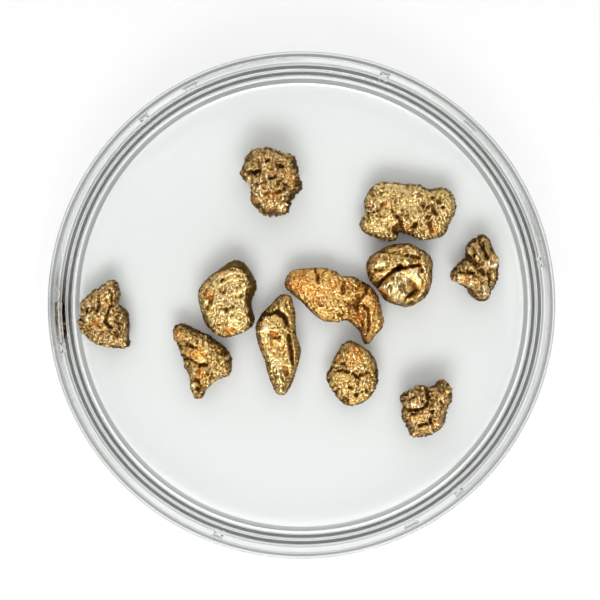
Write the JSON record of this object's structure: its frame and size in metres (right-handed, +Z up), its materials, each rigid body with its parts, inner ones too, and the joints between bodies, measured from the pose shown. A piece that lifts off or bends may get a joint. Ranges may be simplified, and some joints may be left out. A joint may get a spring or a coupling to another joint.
{
  "type": "gold sample dish",
  "caption": "Shallow round clear plastic sample dish, open at the top, with loose natural gold nuggets lying on its floor.",
  "frame": {"origin": "middle of the foot ring, on the surface that the dish stands on", "axes": "+Z up out of the open dish, +X to the right and +Y away from the viewer who looks down on it with the nuggets as stored"},
  "size_m": [0.09, 0.09, 0.015],
  "materials": {
    "clear_plastic": "clear moulded polystyrene, polished",
    "gold_pale": "natural pale gold, finely pitted",
    "gold_bright": "natural gold, worn bright on its folds",
    "gold_orange": "natural gold with an orange iron stain",
    "gold_brown": "natural gold, dark brown in its hollows"
  },
  "bodies": {
    "dish": {"dish": "clear_plastic"},
    "nugget_cavernous": {"nugget_cavernous": "gold_brown"},
    "nugget_wide_slab": {"nugget_wide_slab": "gold_pale"},
    "nugget_folded": {"nugget_folded": "gold_bright"},
    "nugget_triangle": {"nugget_triangle": "gold_brown"},
    "nugget_leaf": {"nugget_leaf": "gold_brown"},
    "nugget_kidney": {"nugget_kidney": "gold_pale"},
    "nugget_wedge": {"nugget_wedge": "gold_bright"},
    "nugget_foot": {"nugget_foot": "gold_bright"},
    "nugget_two_lobed": {"nugget_two_lobed": "gold_orange"},
    "nugget_oval": {"nugget_oval": "gold_bright"},
    "nugget_dark_lobed": {"nugget_dark_lobed": "gold_brown"}
  },
  "joints": [
    {"name": "lift_cavernous", "type": "slide", "parent": "dish", "child": "nugget_cavernous", "axis": [0, 0, 1], "range_m": [0, 0.025]},
    {"name": "lift_wide_slab", "type": "slide", "parent": "dish", "child": "nugget_wide_slab", "axis": [0, 0, 1], "range_m": [0, 0.025]},
    {"name": "lift_folded", "type": "slide", "parent": "dish", "child": "nugget_folded", "axis": [0, 0, 1], "range_m": [0, 0.025]},
    {"name": "lift_triangle", "type": "slide", "parent": "dish", "child": "nugget_triangle", "axis": [0, 0, 1], "range_m": [0, 0.025]},
    {"name": "lift_leaf", "type": "slide", "parent": "dish", "child": "nugget_leaf", "axis": [0, 0, 1], "range_m": [0, 0.025]},
    {"name": "lift_kidney", "type": "slide", "parent": "dish", "child": "nugget_kidney", "axis": [0, 0, 1], "range_m": [0, 0.025]},
    {"name": "lift_wedge", "type": "slide", "parent": "dish", "child": "nugget_wedge", "axis": [0, 0, 1], "range_m": [0, 0.025]},
    {"name": "lift_foot", "type": "slide", "parent": "dish", "child": "nugget_foot", "axis": [0, 0, 1], "range_m": [0, 0.025]},
    {"name": "lift_two_lobed", "type": "slide", "parent": "dish", "child": "nugget_two_lobed", "axis": [0, 0, 1], "range_m": [0, 0.025]},
    {"name": "lift_oval", "type": "slide", "parent": "dish", "child": "nugget_oval", "axis": [0, 0, 1], "range_m": [0, 0.025]},
    {"name": "lift_dark_lobed", "type": "slide", "parent": "dish", "child": "nugget_dark_lobed", "axis": [0, 0, 1], "range_m": [0, 0.025]}
  ]
}
